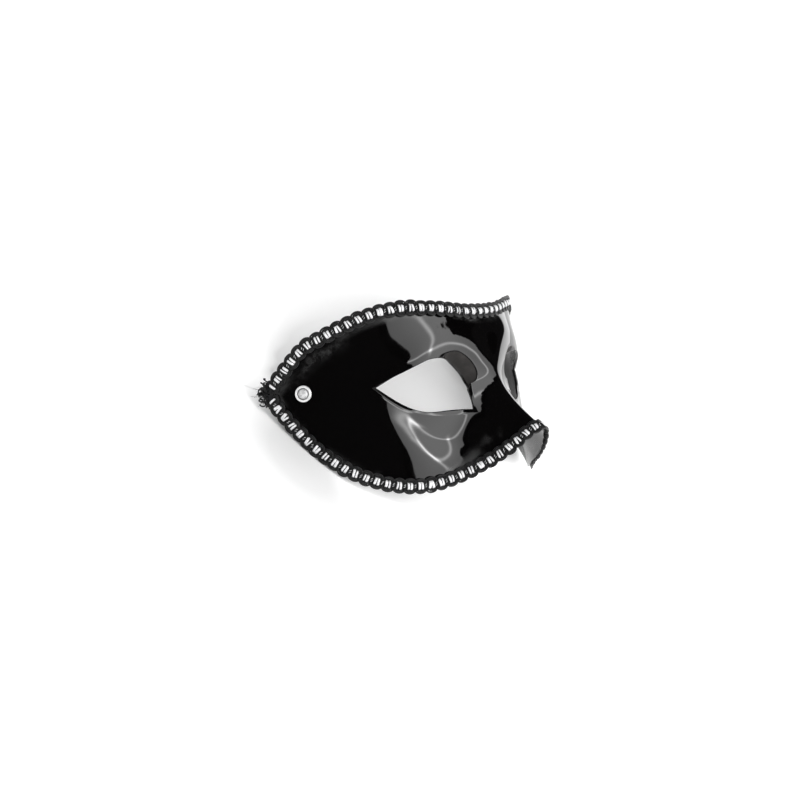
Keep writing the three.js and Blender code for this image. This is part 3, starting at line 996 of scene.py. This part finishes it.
# Panel: its height and sides, the edges of its lit part with their bulge, step and raggedness, and its
# light, which is strongest along two lines that cross.
panel = {"height": 1.2, "left": -0.7, "right": 1.6, "front": -3.1, "back": -0.15}
panelEdge = {"left": -0.523, "right": 1.385, "back": -0.27, "soft": 0.01}
panelBulge = {"out": 0.14, "at": -0.9, "reach": 0.14}
panelStep = {"out": 0.14, "at": (0.5, 0.56)}
panelRough = {"noise": (14, 3, 0.6), "back": 0.16, "right": 0.32}
panelLight = {"edge": 1.7, "middle": 1.5, "middleAt": 0.2, "middleReach": 0.6}
panelLine = {"strength": 5, "cross": 3, "at": 0.0, "from": (-1.1, -0.8), "acrossAt": -0.86, "reach": 0.04}


# The light is a bell across the panel with the lines' bells
# on it. It ends at the edges, and only the lower face has it.
def panelMaterial():
    material, tree = newMaterial("softPanel")
    where = tree.place()
    x, y, _ = tree.axes(where)
    rough = tree.noise(where, *panelRough["noise"]) - 0.5
    bulge = y.bell(panelBulge["at"], panelBulge["reach"]) * panelBulge["out"]
    soft = panelEdge["soft"]
    fromLeft = (x + bulge - panelEdge["left"]).smooth(0, soft)
    fromRight = (panelEdge["right"] - x + rough * panelRough["right"]).smooth(0, soft)
    step = x.smooth(*panelStep["at"]) * panelStep["out"]
    fromBack = (panelEdge["back"] - y - step + rough * panelRough["back"]).smooth(0, soft)
    broad = x.bell(panelLight["middleAt"], panelLight["middleReach"]) * panelLight["middle"]
    upright = x.bell(panelLine["at"], panelLine["reach"]) * y.smooth(*panelLine["from"])
    across = y.bell(panelLine["acrossAt"], panelLine["reach"])
    line = (upright + across + upright * across * panelLine["cross"]) * panelLine["strength"]
    below = tree.add("ShaderNodeNewGeometry", None, None, "Backfacing")
    strength = (panelLight["edge"] + broad + line) * below * fromLeft * fromRight * fromBack
    glow = tree.add("ShaderNodeEmission", None, {"Strength": strength})
    tree.add("ShaderNodeOutputMaterial", None, {"Surface": glow})
    return material


# World: an even pale light. In reflections it is dark, but for a white band low down at the far side.
# The band is under a slanting line, and comes on with how far a direction points to that side.
worldLight = {"even": (0.85, 0.85, 0.85), "dark": (0.02, 0.02, 0.02), "white": (2.8, 2.8, 2.8)}
worldBand = {"x": 0.87, "y": 0.5, "side": (0.1, 0.6), "slant": 0.55, "top": (0.27, 0.31)}


def makeWorld():
    world = bpy.data.worlds.new("studio")
    world.use_nodes = True
    bpy.context.scene.world = world
    tree = Tree(world.node_tree)
    x, y, z = tree.axes(tree.place("Generated"))
    height = z + y * worldBand["slant"]
    sideways = (x * worldBand["x"] + y * worldBand["y"]).smooth(*worldBand["side"])
    band = sideways * (1 - height.smooth(*worldBand["top"]))
    mirrored = tree.mixed(band, worldLight["dark"], worldLight["white"])
    isGlossy = tree.add("ShaderNodeLightPath", None, None, "Is Glossy Ray")
    shade = tree.mixed(isGlossy, worldLight["even"], mirrored)
    glow = tree.add("ShaderNodeBackground", None, {"Color": shade})
    tree.add("ShaderNodeOutputWorld", None, {"Surface": glow})


half = floor["half"]
stagePlane("floor", (-half, -half), (half, half), 0, floorMaterial())
nearLeft, farRight = (panel["left"], panel["front"]), (panel["right"], panel["back"])
softPanel = stagePlane("soft_panel", nearLeft, farRight, panel["height"], panelMaterial())
softPanel.visible_camera = False
makeWorld()
bpy.context.scene.view_settings.view_transform = "Standard"
print("stage set")
